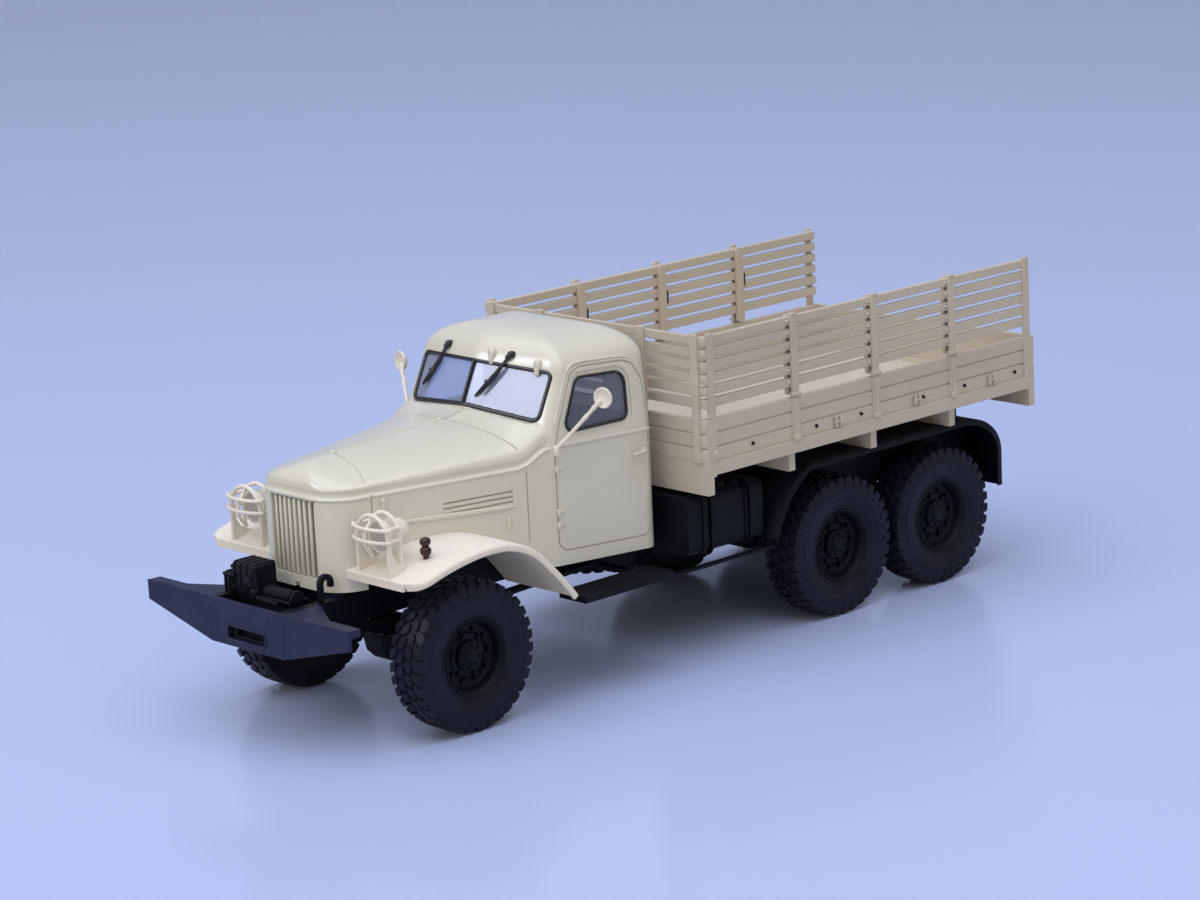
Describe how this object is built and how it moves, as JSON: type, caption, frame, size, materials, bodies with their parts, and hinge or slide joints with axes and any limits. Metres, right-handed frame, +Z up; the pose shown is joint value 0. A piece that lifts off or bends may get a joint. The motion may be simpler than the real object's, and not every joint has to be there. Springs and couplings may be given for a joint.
{
  "type": "scale model cargo truck",
  "caption": "Collectors' scale model of a bonneted military cargo truck: hollow cab, slatted open bed, winch bumper, rolling wheels and linked steering.",
  "frame": {"origin": "on the ground below the middle of the overall box", "axes": "+X to the truck's front, +Y to its left, +Z up"},
  "size_m": [0.161, 0.0538, 0.0582],
  "materials": {
    "cab_paint": "gloss",
    "body_plastic": "matte",
    "bed_plastic": "matte",
    "chassis_black": "satin",
    "tyre_rubber": "matte",
    "bumper_slate": "satin",
    "clear_glass": "clear",
    "black_seal": "matte",
    "interior_dark": "matte",
    "marker_maroon": "gloss"
  },
  "bodies": {
    "root": {"cab_shell": "cab_paint", "grille": "cab_paint", "fender_left": "body_plastic", "fender_right": "body_plastic", "headlamps": "body_plastic", "mirrors": "body_plastic", "bed_floor": "bed_plastic", "headboard": "bed_plastic", "bed_side_left": "bed_plastic", "bed_side_right": "bed_plastic", "lattice_left": "bed_plastic", "lattice_right": "bed_plastic", "tailgate": "bed_plastic", "chassis_frame": "chassis_black", "axle_front": "chassis_black", "axle_middle": "chassis_black", "axle_rear": "chassis_black", "front_springs": "chassis_black", "rear_springs": "chassis_black", "engine_block": "chassis_black", "transfer_case": "chassis_black", "drive_shafts": "chassis_black", "exhaust": "chassis_black", "fuel_tank": "chassis_black", "spare_carrier": "chassis_black", "spare_rim": "chassis_black", "running_boards": "chassis_black", "bed_sills": "chassis_black", "mudguards": "chassis_black", "tail_lamps": "chassis_black", "winch": "chassis_black", "tow_hooks": "chassis_black", "spare_tyre": "tyre_rubber", "front_bumper": "bumper_slate", "windscreen_glass": "clear_glass", "cab_glass": "clear_glass", "lamp_lenses": "clear_glass", "windscreen_gasket": "black_seal", "window_seals": "black_seal", "wipers": "black_seal", "bench_seat": "interior_dark", "dashboard": "interior_dark", "steering_wheel": "interior_dark", "marker_lamps": "marker_maroon"},
    "steer_left": {"knuckle_left": "chassis_black"},
    "steer_right": {"knuckle_right": "chassis_black"},
    "steer_link": {"tie_rod": "chassis_black"},
    "wheel_front_left": {"tyre_front_left": "tyre_rubber", "rim_front_left": "chassis_black"},
    "wheel_front_right": {"tyre_front_right": "tyre_rubber", "rim_front_right": "chassis_black"},
    "wheel_middle_left": {"tyre_middle_left": "tyre_rubber", "rim_middle_left": "chassis_black"},
    "wheel_middle_right": {"tyre_middle_right": "tyre_rubber", "rim_middle_right": "chassis_black"},
    "wheel_rear_left": {"tyre_rear_left": "tyre_rubber", "rim_rear_left": "chassis_black"},
    "wheel_rear_right": {"tyre_rear_right": "tyre_rubber", "rim_rear_right": "chassis_black"}
  },
  "joints": [
    {"name": "steering", "type": "hinge", "parent": "root", "child": "steer_left", "pos_m": [0.0535, 0.0146, 0.0124], "axis": [0, 0, 1], "range_deg": [-20, 20]},
    {"name": "steering_right", "type": "hinge", "parent": "root", "child": "steer_right", "pos_m": [0.0535, -0.0146, 0.0124], "axis": [0, 0, 1], "range_deg": [-20, 20]},
    {"name": "steering_link", "type": "hinge", "parent": "steer_left", "child": "steer_link", "pos_m": [0.0473, 0.0146, 0.0086], "axis": [0, 0, 1], "range_deg": [-20, 20]},
    {"name": "wheel_front_left_spin", "type": "hinge", "parent": "steer_left", "child": "wheel_front_left", "pos_m": [0.0535, 0.0204, 0.0124], "axis": [0, 1, 0], "continuous": true},
    {"name": "wheel_front_right_spin", "type": "hinge", "parent": "steer_right", "child": "wheel_front_right", "pos_m": [0.0535, -0.0204, 0.0124], "axis": [0, 1, 0], "continuous": true},
    {"name": "wheel_middle_left_spin", "type": "hinge", "parent": "root", "child": "wheel_middle_left", "pos_m": [-0.0317, 0.0204, 0.0124], "axis": [0, 1, 0], "continuous": true},
    {"name": "wheel_middle_right_spin", "type": "hinge", "parent": "root", "child": "wheel_middle_right", "pos_m": [-0.0317, -0.0204, 0.0124], "axis": [0, 1, 0], "continuous": true},
    {"name": "wheel_rear_left_spin", "type": "hinge", "parent": "root", "child": "wheel_rear_left", "pos_m": [-0.0578, 0.0204, 0.0124], "axis": [0, 1, 0], "continuous": true},
    {"name": "wheel_rear_right_spin", "type": "hinge", "parent": "root", "child": "wheel_rear_right", "pos_m": [-0.0578, -0.0204, 0.0124], "axis": [0, 1, 0], "continuous": true}
  ],
  "couplings": [
    {"joint": "steering_right", "follows": "steering", "ratio": 1},
    {"joint": "steering_link", "follows": "steering", "ratio": -1}
  ]
}
